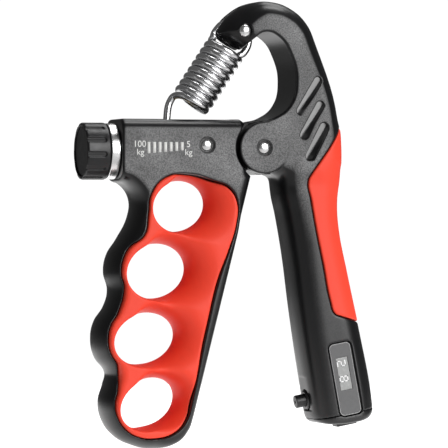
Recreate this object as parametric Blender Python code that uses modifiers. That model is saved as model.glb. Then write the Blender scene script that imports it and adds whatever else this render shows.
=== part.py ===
"""Adjustable hand grip strengthener, modelled piece by piece in Blender 4.5.

Frame: +X from the adjusting knob towards the palm lever, +Z up, -Y is the front.
Y = 0 is the mid-plane, Z = 0 is the lowest point of the finger handle, and X = 0 is
the middle of the whole width.  Sizes below are in millimetres; MM turns them into
Blender's metres.  Outline points are (x, z) pairs in the mid-plane.
"""

import math

import bmesh
import bpy
from mathutils import Matrix, Vector

MM = 0.001
GAP = 0.3
PAST_FACE = 15.0

# Driving sizes of the whole grip
HALF_DEPTH = 13.0
PIVOT = (12.2, 117.4)
SCREW_Z = 115.9
SPRING_TOP = (4.5, 163.1)
SPRING_FOOT = (-21.0, 125.0)
HOUSING_TOP = 128.5
HOUSING_LEFT = -45.2
HOUSING_PIN = (-11.2, 118.3)

# Rivets that show in the front and back faces
PIVOT_PIN_RADIUS = 2.0
CROSS_PIN_RADIUS = 1.5
RIVET_SINK = 1.2
RIVET_HEAD = 2.4
RIVET_RECESS = 3.1

# Finger holes: centre x, centre z, half length, half height, tilt in degrees
FINGER_HOLES = (
    (-21.4, 94.5, 12.5, 9.9, 10.0),
    (-30.5, 69.2, 13.7, 10.6, 14.0),
    (-35.4, 42.9, 14.4, 9.7, 18.0),
    (-34.2, 17.8, 13.6, 8.8, 26.0),
)

# Mechanism in the housing
BORE_RADIUS = 7.0
BORE_END = -7.2
SCREW_RADIUS = 3.0
SLOT_HALF_WIDTH = 4.5
SLOT_ENDS = (-40.6, -12.6)
KNOB_END = -58.8
KNOB_FACE = -49.3
KNOB_RADIUS = 11.15
RING_RADIUS = 10.9
TONGUE_HALF = 5.2
TONGUE_RADIUS = 10.5
TONGUE_ROOM = 11.2
CHEEK_INNER = 6.4
CHEEK_RADIUS = 10.2
CHEEK_ROOM = 11.6
SCREW_WAY = 4.3
SPIGOT_END = 41.0
JOURNAL_RADIUS = 2.0
KNOB_GROOVES = 12

# Spring
WIRE_RADIUS = 1.45
COIL_RADIUS = 6.75
COIL_PITCH = 3.05
COIL_START = 16.4
COIL_END = 35.6

# Counter in the lower end of the palm lever, in its own tilted frame
COUNTER_ORIGIN = (45.6, 12.0)
COUNTER_TILT = math.radians(10.5)
LENS_X = 1.9
PLUNGER_Z = 8.2


# ---------------------------------------------------------------- scene helpers

def clear_scene():
    """Remove every object and collection that is in the file."""
    for item in list(bpy.data.objects):
        bpy.data.objects.remove(item)
    for group in list(bpy.data.collections):
        bpy.data.collections.remove(group)


def new_collection(name):
    """Make a collection under the scene's own."""
    group = bpy.data.collections.new(name)
    bpy.context.scene.collection.children.link(group)
    return group


def new_material(name, colour, roughness, metallic=0.0):
    """Make a Principled BSDF material."""
    material = bpy.data.materials.new(name)
    material.use_nodes = True
    shader = material.node_tree.nodes["Principled BSDF"]
    shader.inputs["Base Color"].default_value = (*colour, 1.0)
    shader.inputs["Roughness"].default_value = roughness
    shader.inputs["Metallic"].default_value = metallic
    return material


clear_scene()
GRIP = new_collection("hand_grip_strengthener")
CUTTERS = new_collection("cutters")

BLACK = (0.022, 0.022, 0.023)
RED = (0.80, 0.070, 0.036)
CHROME = (0.78, 0.78, 0.80)
STEEL = (0.56, 0.56, 0.58)


def new_empty(name, location, tilt=0.0):
    """Make an empty at (x, z) on the mid-plane, turned by tilt about Y."""
    empty = bpy.data.objects.new(name, None)
    empty.location = (location[0] * MM, 0.0, location[1] * MM)
    empty.rotation_euler = (0.0, tilt, 0.0)
    empty.empty_display_size = 5 * MM
    GRIP.objects.link(empty)
    return empty


def attach(item, empty):
    """Parent an item that was built in world coordinates, leaving it in place."""
    item.parent = empty
    turn = Matrix.Rotation(empty.rotation_euler.y, 4, "Y")
    item.matrix_parent_inverse = (Matrix.Translation(empty.location) @ turn).inverted()
    return item


def finish(item, colour=None, roughness=0.5, metallic=0.0, parent=None, local=False):
    """Give a piece its material and parent; a piece with no colour is a cutter."""
    if colour is None:
        item.hide_render = True
        item.display_type = "WIRE"
        CUTTERS.objects.link(item)
    else:
        GRIP.objects.link(item)
        item.data.materials.clear()
        item.data.materials.append(new_material(item.name, colour, roughness, metallic))
    if parent is not None and local:
        item.parent = parent
    elif parent is not None:
        attach(item, parent)
    return item


def smooth(mesh):
    """Shade a mesh smooth with sharp edges kept."""
    mesh.shade_smooth()
    mesh.set_sharp_from_angle(angle=math.radians(35))


# ---------------------------------------------------------------- shape helpers

def box(name, low, high, **look):
    """A box between two corners, in millimetres."""
    bm = bmesh.new()
    bmesh.ops.create_cube(bm, size=1.0)
    size = [(b - a) * MM for a, b in zip(low, high)]
    centre = [(a + b) / 2 * MM for a, b in zip(low, high)]
    bmesh.ops.scale(bm, verts=bm.verts, vec=size)
    bmesh.ops.translate(bm, verts=bm.verts, vec=centre)
    mesh = bpy.data.meshes.new(name)
    bm.to_mesh(mesh)
    bm.free()
    return finish(bpy.data.objects.new(name, mesh), **look)


def cylinder(name, start, end, radius, segments=24, **look):
    """A cylinder between two points, in millimetres."""
    start = Vector(start) * MM
    end = Vector(end) * MM
    along = end - start
    bm = bmesh.new()
    bmesh.ops.create_cone(
        bm,
        cap_ends=True,
        segments=segments,
        radius1=radius * MM,
        radius2=radius * MM,
        depth=along.length,
        matrix=along.to_track_quat("Z", "Y").to_matrix().to_4x4(),
    )
    bmesh.ops.translate(bm, verts=bm.verts, vec=(start + end) / 2)
    mesh = bpy.data.meshes.new(name)
    bm.to_mesh(mesh)
    bm.free()
    smooth(mesh)
    return finish(bpy.data.objects.new(name, mesh), **look)


def turned(name, profile, origin, direction, steps=28, **look):
    """A turned solid: (radius, height) points down its outer side, about direction."""
    mesh = bpy.data.meshes.new(name)
    points = [(radius * MM, 0.0, height * MM) for radius, height in profile]
    edges = [(i, i + 1) for i in range(len(points) - 1)]
    if profile[0][0] > 0:
        edges.append((len(points) - 1, 0))
    mesh.from_pydata(points, edges, [])
    item = bpy.data.objects.new(name, mesh)
    screw = item.modifiers.new("turn", "SCREW")
    screw.axis = "Z"
    screw.steps = steps
    screw.render_steps = steps
    screw.use_merge_vertices = True
    screw.merge_threshold = 0.00001
    item.location = Vector(origin) * MM
    item.rotation_mode = "QUATERNION"
    item.rotation_quaternion = Vector(direction).to_track_quat("Z", "Y")
    return finish(item, **look)


def arc(centre, radius, start, end, count):
    """Smooth outline points on an arc, angles in degrees anticlockwise from +X."""
    angles = [math.radians(start + (end - start) * i / (count - 1)) for i in range(count)]
    return [(centre[0] + radius * math.cos(a), centre[1] + radius * math.sin(a)) for a in angles]


def ellipse(centre, half_length, half_height, tilt, count=8):
    """Smooth outline points round a tilted ellipse."""
    turn = math.radians(tilt)
    points = []
    for i in range(count):
        angle = 2 * math.pi * i / count
        along = half_length * math.cos(angle)
        across = half_height * math.sin(angle)
        x = along * math.cos(turn) - across * math.sin(turn)
        z = along * math.sin(turn) + across * math.cos(turn)
        points.append((centre[0] + x, centre[1] + z))
    return points


def sharp(*points):
    """Mark outline points as corners."""
    return [(x, z, "VECTOR") for x, z in points]


def add_outline(data, points):
    """Add one closed Bezier outline; plain points are smooth, sharp() ones are corners."""
    spline = data.splines.new("BEZIER")
    spline.bezier_points.add(len(points) - 1)
    for knot, point in zip(spline.bezier_points, points):
        handle = point[2] if len(point) > 2 else "AUTO"
        knot.co = (point[0] * MM, point[1] * MM, 0.0)
        knot.handle_left_type = handle
        knot.handle_right_type = handle
    spline.use_cyclic_u = True


def to_mesh(curve_object, **look):
    """Turn a curve object into a welded mesh object and remove the curve."""
    bpy.context.scene.collection.objects.link(curve_object)
    bpy.context.view_layer.update()
    graph = bpy.context.evaluated_depsgraph_get()
    mesh = bpy.data.meshes.new_from_object(curve_object.evaluated_get(graph))
    bm = bmesh.new()
    bm.from_mesh(mesh)
    bmesh.ops.remove_doubles(bm, verts=bm.verts, dist=0.01 * MM)
    bm.to_mesh(mesh)
    bm.free()
    smooth(mesh)
    name = curve_object.name
    placed = curve_object.matrix_world.copy()
    bpy.data.objects.remove(curve_object)
    item = bpy.data.objects.new(name, mesh)
    item.matrix_world = placed
    return finish(item, **look)


def prism(name, outlines, half_depth, middle=0.0, bevel=0.0, grow=0.0, resolution=3, **look):
    """Outlines in the XZ plane made thick along Y about middle, edges rounded by bevel."""
    data = bpy.data.curves.new(name, "CURVE")
    data.dimensions = "2D"
    data.fill_mode = "BOTH"
    data.resolution_u = resolution
    data.extrude = (half_depth - bevel) * MM
    data.bevel_depth = bevel * MM
    data.bevel_resolution = 1
    data.offset = (grow - bevel) * MM
    for points in outlines:
        add_outline(data, points)
    item = bpy.data.objects.new(name, data)
    item.location = (0.0, middle * MM, 0.0)
    item.rotation_euler = (math.pi / 2, 0.0, 0.0)
    return to_mesh(item, **look)


def wire(name, points, radius, resolution=2, **look):
    """A round wire along points (x, y, z), with closed ends."""
    data = bpy.data.curves.new(name, "CURVE")
    data.dimensions = "3D"
    data.bevel_depth = radius * MM
    data.bevel_resolution = resolution
    data.use_fill_caps = True
    spline = data.splines.new("POLY")
    spline.points.add(len(points) - 1)
    for knot, point in zip(spline.points, points):
        knot.co = (*(Vector(point) * MM), 1.0)
    return to_mesh(bpy.data.objects.new(name, data), **look)


def combine(item, other, operation):
    """Add a Boolean modifier that joins, cuts or keeps what is shared."""
    step = item.modifiers.new(operation.lower(), "BOOLEAN")
    step.operation = operation
    step.solver = "EXACT"
    step.object = other
    return item


def cut(item, *others):
    """Cut other objects out of an item."""
    for other in others:
        combine(item, other, "DIFFERENCE")
    return item


# ---------------------------------------------------------------- outlines

def finger_outline():
    """The finger handle: housing, waved finger side, bottom, straight inner edge, tongue."""
    centres = [(x, z) for x, z, *rest in FINGER_HOLES]
    points = sharp((HOUSING_LEFT, HOUSING_TOP), (HOUSING_LEFT, 104.2))
    points += [(-42.2, 103.0), (-38.7, 97.0), (-39.3, 90.5)]
    points += arc(centres[1], 18.4, 136, 204, 4)
    points += arc(centres[2], 18.9, 136, 226, 5)
    points += arc(centres[3], 17.2, 152, 255, 5)
    points += [(-31.0, 0.0), (-23.5, 1.8), (-18.0, 7.5)]
    points += sharp((-16.1, 12.6), (7.7, 106.3))
    points += arc(PIVOT, TONGUE_RADIUS, 240, 480, 9)
    points += sharp((3.0, HOUSING_TOP))
    return points


def insert_outline():
    """The soft insert that carries the four finger holes."""
    centres = [(x, z) for x, z, *rest in FINGER_HOLES]
    points = [(-28.5, 105.6), (-33.8, 99.5), (-35.1, 91.5)]
    points += [(-36.8, 83.2)]
    points += arc(centres[1], 15.3, 142, 204, 4)
    points += arc(centres[2], 15.7, 138, 222, 5)
    points += arc(centres[3], 14.1, 156, 250, 5)
    points += [(-32.0, 3.8), (-24.5, 6.0), (-19.3, 11.5), (-17.3, 18.5)]
    points += [(-13.2, 43.6), (-6.2, 68.8), (-0.4, 86.5), (1.3, 95.0)]
    points += [(-3.0, 103.0), (-17.5, 107.5)]
    return points


def arm_outline():
    """The lever above the handle: hinge cheek, inner arch, tip and outer bow."""
    points = arc(PIVOT, CHEEK_RADIUS, 150, 285, 7)
    points += sharp((24.0, 101.0), (38.0, 101.0), (44.0, 112.0), (44.6, 124.8))
    points += arc((14.7, 154.0), 21.0, 15, 128, 6)
    points += sharp((-4.0, 162.7), (5.2, 155.6))
    points += [(8.6, 160.2), (13.0, 162.7), (18.6, 160.6), (23.0, 154.0), (25.3, 144.0)]
    points += [(23.0, 134.5), (16.6, 129.4), (10.6, 127.9), (6.0, 126.0)]
    return points


def handle_outline():
    """The palm handle from the hinge down to its rounded end."""
    points = [(19.5, 106.5), (19.6, 100.5), (21.6, 91.0), (24.4, 75.1), (26.9, 56.2)]
    points += [(29.7, 37.3), (32.0, 23.5), (34.6, 14.5), (42.0, 9.1), (51.5, 10.1)]
    points += [(58.0, 15.5), (58.3, 24.0), (54.4, 43.6), (48.9, 68.8), (45.6, 85.5)]
    points += [(44.9, 96.0), (46.1, 108.0), (45.4, 119.0), (42.0, 127.5), (33.0, 127.5)]
    points += [(24.0, 116.0)]
    return points


def pad_outline():
    """The area that the soft palm pad covers, out past the handle's outer side."""
    points = sharp((45.2, 127.6), (32.3, 108.8))
    points += [(30.4, 104.2)]
    points += [(33.6, 84.8), (36.3, 71.7)]
    points += [(39.6, 56.0), (41.6, 52.0)]
    points += sharp((44.3, 51.0), (60.0, 47.0), (66.0, 130.0))
    return points


def core_outline():
    """The hard core that runs up inside the pad."""
    points = sharp((10.0, 135.0), (10.0, 45.0), (52.0, 40.0))
    points += [(44.6, 70.0), (41.2, 88.0), (41.3, 98.0), (42.4, 108.0)]
    points += sharp((41.5, 120.0), (40.0, 135.0))
    return points


# ---------------------------------------------------------------- finger handle

def pin_holes(name, place, shaft, head):
    """Cutters for a rivet: its shaft hole and a counterbore in each face."""
    x, z = place
    seat = HALF_DEPTH - RIVET_SINK
    hole = cylinder(name + "_hole", (x, -PAST_FACE, z), (x, PAST_FACE, z), shaft + GAP)
    front = cylinder(name + "_front", (x, -PAST_FACE, z), (x, -seat, z), head)
    back = cylinder(name + "_back", (x, seat, z), (x, PAST_FACE, z), head)
    return hole, front, back


def rivet(name, place, shaft, head, **look):
    """A rivet along Y with a low dome on each end."""
    face = HALF_DEPTH - 0.1
    seat = HALF_DEPTH - RIVET_SINK + GAP
    dome = [(0.0, face), (head * 0.45, face - 0.1), (head * 0.8, face - 0.35), (head, seat)]
    profile = dome + [(shaft, seat), (shaft, -seat)]
    profile += [(radius, -height) for radius, height in reversed(dome)]
    return turned(name, profile, (place[0], 0, place[1]), (0, 1, 0), steps=20, **look)


def make_finger_frame():
    """The hard finger handle with its screw bore, slot, tongue and insert window."""
    frame = prism(
        "finger_frame", [finger_outline()], HALF_DEPTH, bevel=3.5, colour=BLACK, roughness=0.45
    )
    window = prism("insert_window", [insert_outline()], PAST_FACE, grow=GAP)
    bore = cylinder("screw_bore", (-50, 0, SCREW_Z), (BORE_END, 0, SCREW_Z), BORE_RADIUS, 32)
    slot = box("top_slot", (SLOT_ENDS[0], -SLOT_HALF_WIDTH, 118), (SLOT_ENDS[1], SLOT_HALF_WIDTH, 132))
    trough = cylinder("coil_trough", (-40.6, 0, 134.5), (-3.0, 0, 134.5), 9.5, 32)
    x, z = PIVOT
    front = cylinder("front_cheek_room", (x, -PAST_FACE, z), (x, -TONGUE_HALF, z), CHEEK_ROOM, 48)
    back = cylinder("back_cheek_room", (x, TONGUE_HALF, z), (x, PAST_FACE, z), CHEEK_ROOM, 48)
    hinge = cylinder("tongue_hole", (x, -8, z), (x, 8, z), PIVOT_PIN_RADIUS + GAP)
    cut(frame, window, bore, slot, trough, front, back, hinge)
    return cut(frame, *pin_holes("housing_pin", HOUSING_PIN, CROSS_PIN_RADIUS, RIVET_RECESS))


def make_finger_insert():
    """The soft insert with its four finger holes."""
    outlines = [insert_outline()]
    for x, z, half_length, half_height, tilt in FINGER_HOLES:
        outlines.append(ellipse((x, z), half_length, half_height, tilt))
    return prism("finger_insert", outlines, 12.4, colour=RED, roughness=0.55)


def make_collar():
    """The polished ring with its spigot in the bore, and the thrust washer in its face."""
    left, right = KNOB_FACE + GAP, HOUSING_LEFT - GAP
    profile = [
        (SCREW_WAY, -left - 1.2), (7.5, -left - 1.2), (7.5, -left), (RING_RADIUS - 0.4, -left),
        (RING_RADIUS, -left - 0.4), (RING_RADIUS, -right + 0.4), (RING_RADIUS - 0.4, -right),
        (BORE_RADIUS - GAP, -right), (BORE_RADIUS - GAP, SPIGOT_END), (SCREW_WAY, SPIGOT_END),
    ]
    turned("collar_ring", profile, (0, 0, SCREW_Z), (-1, 0, 0), colour=CHROME, roughness=0.2,
           metallic=1.0)
    washer = [
        (SCREW_WAY, -left - GAP), (7.2, -left - GAP), (7.2, -left - 0.9), (SCREW_WAY, -left - 0.9),
    ]
    turned("thrust_washer", washer, (0, 0, SCREW_Z), (-1, 0, 0), colour=STEEL, roughness=0.35,
           metallic=1.0)


def make_tail_bearing():
    """The block at the bore's end that steadies the screw; the housing pin holds it."""
    block = cylinder(
        "tail_bearing", (-15.6, 0, SCREW_Z), (BORE_END - GAP, 0, SCREW_Z), BORE_RADIUS - GAP, 32,
        colour=(0.55, 0.55, 0.53), roughness=0.5,
    )
    flat = box("tail_flat", (-20, -10, 121.0), (0, 10, 126))
    journal = cylinder("tail_journal", (-20, 0, SCREW_Z), (-13.3, 0, SCREW_Z), JOURNAL_RADIUS + GAP, 20)
    x, z = HOUSING_PIN
    hole = cylinder("tail_pin_hole", (x, -10, z), (x, 10, z), CROSS_PIN_RADIUS + GAP, 20)
    return cut(block, flat, journal, hole)


def make_finger_side():
    """Everything that is fixed in the finger handle."""
    make_finger_frame()
    make_finger_insert()
    make_collar()
    make_tail_bearing()
    rivet("housing_pin", HOUSING_PIN, CROSS_PIN_RADIUS, RIVET_HEAD, colour=CHROME, roughness=0.15,
          metallic=1.0)
    rivet("pivot_pin", PIVOT, PIVOT_PIN_RADIUS, RIVET_HEAD + 0.2, colour=CHROME, roughness=0.15,
          metallic=1.0)
    for name, side in (("front", -1), ("back", 1)):
        half = [(2.3, 0.3), (5.5, 0.3), (5.5, -0.3), (2.3, -0.3)]
        middle = side * (TONGUE_HALF + CHEEK_INNER) / 2
        turned("pivot_washer_" + name, half, (PIVOT[0], middle, PIVOT[1]), (0, 1, 0), steps=20,
               colour=(0.6, 0.6, 0.6), roughness=0.5)


# ---------------------------------------------------------------- adjuster

def knob_grooves():
    """One cutter made of the knob's grip grooves."""
    bm = bmesh.new()
    for i in range(KNOB_GROOVES):
        made = bmesh.ops.create_cube(bm, size=1.0)["verts"]
        bmesh.ops.scale(bm, verts=made, vec=(5.8 * MM, 1.8 * MM, 1.2 * MM))
        bmesh.ops.translate(bm, verts=made, vec=(-54.2 * MM, 0, KNOB_RADIUS * MM))
        turn = Matrix.Rotation(2 * math.pi * (i + 0.25) / KNOB_GROOVES, 3, "X")
        bmesh.ops.rotate(bm, verts=made, matrix=turn)
    bmesh.ops.translate(bm, verts=bm.verts, vec=(0, 0, SCREW_Z * MM))
    mesh = bpy.data.meshes.new("knob_grooves")
    bm.to_mesh(mesh)
    bm.free()
    return finish(bpy.data.objects.new("knob_grooves", mesh))


def make_adjuster():
    """Knob, end cap, retaining screw and the long adjusting screw, turning about X."""
    axis = new_empty("knob_axis", (KNOB_FACE, SCREW_Z))
    end, face = -KNOB_END, -KNOB_FACE
    profile = [
        (3.3, end - 3.4), (4.3, end - 3.4), (4.3, end - 1.2), (9.9, end - 1.2), (9.9, end),
        (10.3, end), (KNOB_RADIUS, end - 0.9), (KNOB_RADIUS, face + 0.3),
        (KNOB_RADIUS - 0.3, face), (3.3, face),
    ]
    knob = turned("knob", profile, (0, 0, SCREW_Z), (-1, 0, 0), steps=48, colour=BLACK,
                  roughness=0.4, parent=axis)
    cut(knob, knob_grooves())
    cap = [(0, end - 0.15), (9.3, end - 0.15), (9.6, end - 0.4), (9.6, end - 0.9), (0, end - 0.9)]
    turned("knob_cap", cap, (0, 0, SCREW_Z), (-1, 0, 0), steps=32, colour=BLACK, roughness=0.5,
           parent=axis)
    head = [
        (0, end - 1.5), (3.4, end - 1.5), (3.8, end - 1.9), (3.8, end - 3.1), (1.2, end - 3.1),
        (1.2, end - 7.0), (0, end - 7.0),
    ]
    turned("knob_screw", head, (0, 0, SCREW_Z), (-1, 0, 0), steps=20, colour=STEEL,
           roughness=0.3, metallic=1.0, parent=axis)
    spindle = [
        (0, end - 7.5), (1.5, end - 7.5), (1.5, end - 3.7), (SCREW_RADIUS, end - 3.7),
        (SCREW_RADIUS, 49.0), (SCREW_WAY - GAP, 49.0), (SCREW_WAY - GAP, 40.4), (SCREW_RADIUS, 40.4),
        (SCREW_RADIUS, 16.0), (JOURNAL_RADIUS, 16.0), (JOURNAL_RADIUS, 13.7), (0, 13.7),
    ]
    turned("adjusting_screw", spindle, (0, 0, SCREW_Z), (-1, 0, 0), steps=24, colour=STEEL,
           roughness=0.3, metallic=1.0, parent=axis)


def make_slider():
    """The nut on the screw with its fork, and the anchor pin the spring hooks on."""
    x, z = SPRING_FOOT
    nut = cylinder(
        "slider_nut", (-26.0, 0, SCREW_Z), (-16.4, 0, SCREW_Z), BORE_RADIUS - GAP, 32,
        colour=(0.45, 0.36, 0.16), roughness=0.4, metallic=1.0,
    )
    fork = box("slider_fork", (-25.2, -4.2, 118), (-17.0, 4.2, z + 2.6))
    thread = cylinder("slider_thread", (-30, 0, SCREW_Z), (-12, 0, SCREW_Z), SCREW_RADIUS + GAP, 24)
    slit = box("slider_slit", (-30, -1.8, 119.3), (-12, 1.8, 132))
    hole = cylinder("anchor_hole", (x, -8, z), (x, 8, z), CROSS_PIN_RADIUS + GAP, 20)
    combine(nut, fork, "UNION")
    cut(nut, thread, slit, hole)
    foot = new_empty("spring_foot", SPRING_FOOT)
    cylinder("anchor_pin", (x, -4.1, z), (x, 4.1, z), CROSS_PIN_RADIUS, 20, colour=STEEL,
             roughness=0.3, metallic=1.0, parent=foot)
    return foot


# ---------------------------------------------------------------- spring

def on_spring(along, aside, depth=0.0):
    """A point in the spring's own frame: along its axis from the foot, aside, and in depth."""
    rise = Vector((SPRING_TOP[0] - SPRING_FOOT[0], SPRING_TOP[1] - SPRING_FOOT[1])).normalized()
    x = SPRING_FOOT[0] + rise.x * along - rise.y * aside
    z = SPRING_FOOT[1] + rise.y * along + rise.x * aside
    return (x, depth, z)


def make_spring(foot):
    """The tension spring: lower hook, coil and upper hook, which move apart as it stretches."""
    look = dict(colour=CHROME, roughness=0.12, metallic=1.0, parent=foot)
    lower = [(13.3, -3.2), (13.9, -0.6), (13.2, 2.4), (11.2, 5.2), (8.2, 6.6), (5.0, 6.3)]
    lower += [(1.0 + 4.3 * math.sin(a), 4.3 * math.cos(a))
              for a in (-math.pi * i / 8 for i in range(9))]
    lower += [(1.9, -4.3)]
    points = [on_spring(along, aside) for along, aside in lower]
    wire("spring_lower_hook", points, WIRE_RADIUS, **look)

    per_turn = 12
    count = round((COIL_END - COIL_START) / COIL_PITCH * per_turn)
    coil = []
    for i in range(count + 1):
        angle = 2 * math.pi * i / per_turn
        along = COIL_START + COIL_PITCH * i / per_turn
        coil.append(on_spring(along, -COIL_RADIUS * math.cos(angle), COIL_RADIUS * math.sin(angle)))
    wire("spring_coil", coil, WIRE_RADIUS - 0.12, **look)

    loop, centre = 7.1, 42.15
    upper = [(38.4, loop - 0.9)]
    upper += [(centre + loop * math.sin(a), loop * math.cos(a))
              for a in (math.pi * i / 10 for i in range(11))]
    upper += [(39.6, 0.5 - loop)]
    points = [on_spring(along, aside) for along, aside in upper]
    wire("spring_upper_hook", points, WIRE_RADIUS, **look)


# ---------------------------------------------------------------- palm lever

def lever_grooves():
    """One cutter with the three slanted grooves of both faces."""
    bars = (((34.2, 143.6), (27.2, 132.0)), ((35.1, 134.0), (28.6, 122.6)), ((36.7, 125.6), (30.8, 114.2)))
    outlines = []
    for top, bottom in bars:
        slope = math.degrees(math.atan2(top[1] - bottom[1], top[0] - bottom[0]))
        outline = arc(top, 1.8, slope - 90, slope + 90, 5)
        outline += arc(bottom, 1.8, slope + 90, slope + 270, 5)
        outlines.append(outline)
    front = prism("front_grooves", outlines, 2.0, middle=-HALF_DEPTH, resolution=2)
    back = prism("back_grooves", outlines, 2.0, middle=HALF_DEPTH, resolution=2)
    return front, back


def local_box(name, frame, low, high, **look):
    """A box in the counter's tilted frame."""
    return box(name, low, high, parent=frame, local=True, **look)


def local_cylinder(name, frame, start, end, radius, segments=24, **look):
    """A cylinder in the counter's tilted frame."""
    return cylinder(name, start, end, radius, segments, parent=frame, local=True, **look)


def make_lever_shells(lever, frame):
    """The lever body, its soft pad and the end cap, cut from the same outlines."""
    def handle(name, **look):
        return prism(name, [handle_outline()], HALF_DEPTH, bevel=6.5, **look)

    body = prism("lever_body", [arm_outline()], HALF_DEPTH, bevel=3.0, colour=BLACK,
                 roughness=0.45, parent=lever)
    combine(body, handle("handle_solid"), "UNION")
    pad_room = prism("pad_room", [pad_outline()], PAST_FACE, grow=GAP)
    cut(pad_room, prism("small_core", [core_outline()], 10.3, grow=-GAP))
    cut(body, pad_room)

    pad = handle("palm_pad", colour=RED, roughness=0.55, parent=lever)
    combine(pad, prism("pad_area", [pad_outline()], PAST_FACE), "INTERSECT")
    cut(pad, prism("pad_core", [core_outline()], 10.3))

    x, z = PIVOT
    tongue_room = cylinder("tongue_room", (x, -CHEEK_INNER, z), (x, CHEEK_INNER, z), TONGUE_ROOM, 48)
    left_room = box("neck_room", (-6, -CHEEK_INNER, 103), (x, CHEEK_INNER, 124.5))
    hook_slot = cylinder("hook_slot", (2.6, -1.95, 161.7), (2.6, 1.95, 161.7), 11.5, 32)
    cut(body, tongue_room, left_room, hook_slot, *lever_grooves())
    cut(body, *pin_holes("pivot", PIVOT, PIVOT_PIN_RADIUS, RIVET_RECESS))
    cut(body, *pin_holes("spring_pin", SPRING_TOP, CROSS_PIN_RADIUS, RIVET_RECESS))

    cut(body, local_box("cap_room", frame, (-30, -20, -20), (30, 20, 0.9)))
    cut(body, local_box("counter_room", frame, (-7.0, -8.5, -2), (7.5, 8.5, 36)))
    cut(body, local_box("lens_pocket", frame, (LENS_X - 4.2, -15, 1.3), (LENS_X + 4.2, -11.5, 28.6)))
    cut(body, local_box("lcd_window", frame, (LENS_X - 2.9, -15, 10.5), (LENS_X + 2.9, -6, 24.5)))
    cut(body, local_box("plunger_facet", frame, (-20, -20, 4.0), (-10.9, 20, 17.5)))
    cut(body, local_cylinder("plunger_way", frame, (-20, 0, PLUNGER_Z), (-5, 0, PLUNGER_Z), 3.6))
    cut(body, local_cylinder("door_way", frame, (0.3, 5, 20.0), (0.3, 16, 20.0), 7.8, 32))

    cap = handle("end_cap", colour=BLACK, roughness=0.45, parent=lever)
    combine(cap, local_box("cap_area", frame, (-30, -20, -20), (30, 20, 0.6)), "INTERSECT")
    combine(cap, local_box("cap_spigot", frame, (-6.7, -8.2, 0.2), (7.2, 8.2, 2.6)), "UNION")
    cut(cap, local_box("spigot_room", frame, (-5.2, -6.6, 0.6), (6.0, 6.6, 4)))
    cut(cap, local_box("button_way", frame, (-0.8, -3.4, -8), (4.8, 3.4, 2)))


def make_counter(frame):
    """The counter in the handle's end: lens, display, board, battery and switches."""
    lens = local_box("counter_lens", frame, (LENS_X - 3.9, -12.9, 1.6), (LENS_X + 3.9, -11.8, 28.3),
                     colour=(0.10, 0.10, 0.11), roughness=0.15)
    corners = lens.modifiers.new("corners", "BEVEL")
    corners.width = 0.45 * MM
    corners.segments = 2
    local_box("lcd_module", frame, (LENS_X - 4.6, -8.2, 9.5), (LENS_X + 4.6, -5.8, 25.5),
              colour=(0.42, 0.44, 0.42), roughness=0.3)
    local_box("counter_board", frame, (-6.2, -5.5, 3.8), (6.8, -4.5, 33.0),
              colour=(0.02, 0.16, 0.07), roughness=0.5)
    local_cylinder("button_cell", frame, (0.3, 6.2, 20.0), (0.3, 8.2, 20.0), 6.25, 32,
                   colour=STEEL, roughness=0.25, metallic=1.0)
    leg = local_box("contact_leg", frame, (-1.5, -4.2, 19.0), (1.5, 5.6, 19.6))
    contact = local_box("battery_contact", frame, (-1.5, 5.2, 17.0), (1.5, 5.8, 23.0),
                        colour=(0.7, 0.55, 0.25), roughness=0.3, metallic=1.0)
    combine(contact, leg, "UNION")
    door = local_cylinder("battery_door", frame, (0.3, 8.8, 20.0), (0.3, 12.75, 20.0), 7.5, 32,
                          colour=BLACK, roughness=0.45)
    cut(door, local_box("door_slot", frame, (-4.2, 11.9, 19.3), (4.8, 14, 20.7)))
    local_box("plunger_switch", frame, (0.6, -4.2, 5.5), (5.6, 2.6, 11.2),
              colour=(0.05, 0.05, 0.05), roughness=0.5)
    local_box("reset_switch", frame, (-0.2, -4.2, 3.9), (4.2, -0.9, 5.2),
              colour=(0.05, 0.05, 0.05), roughness=0.5)
    bush = [(2.8, 4.0), (3.3, 4.0), (3.3, 0.0), (2.8, 0.0)]
    turned("plunger_bush", bush, (-7.3, 0, PLUNGER_Z), (-1, 0, 0), steps=24, colour=BLACK,
           roughness=0.35, parent=frame, local=True)


def make_buttons(frame):
    """The sprung counting plunger and the reset button."""
    profile = [
        (0, 15.5), (2.1, 15.5), (2.5, 15.1), (2.5, 6.7), (3.4, 6.7), (3.4, 5.7), (1.2, 5.7),
        (1.2, 3.7), (0, 3.7),
    ]
    turned("plunger", profile, (0, 0, PLUNGER_Z), (-1, 0, 0), steps=24, colour=BLACK,
           roughness=0.3, parent=frame, local=True)
    turns, per_turn = 5, 8
    points = []
    for i in range(turns * per_turn + 1):
        angle = 2 * math.pi * i / per_turn
        along = -5.1 + 5.1 * i / (turns * per_turn)
        points.append((along, 2.1 * math.cos(angle), PLUNGER_Z + 2.1 * math.sin(angle)))
    wire("plunger_spring", points, 0.25, resolution=0, colour=STEEL, roughness=0.3, metallic=1.0,
         parent=frame, local=True)
    button = local_box("reset_button", frame, (-0.5, -3.1, -4.3), (4.5, 3.1, 1.4), colour=BLACK,
                       roughness=0.4)
    combine(button, local_box("button_flange", frame, (-1.6, -4.4, 0.9), (5.6, 4.4, 1.7)), "UNION")


def make_lever_side():
    """Everything that turns with the palm lever."""
    lever = new_empty("lever_pivot", PIVOT)
    frame = new_empty("counter_frame", COUNTER_ORIGIN, -COUNTER_TILT)
    make_lever_shells(lever, frame)
    rivet("spring_pin", SPRING_TOP, CROSS_PIN_RADIUS, RIVET_HEAD, colour=CHROME, roughness=0.15,
          metallic=1.0, parent=lever)
    make_counter(frame)
    make_buttons(frame)


make_finger_side()
make_adjuster()
make_spring(make_slider())
make_lever_side()
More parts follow.
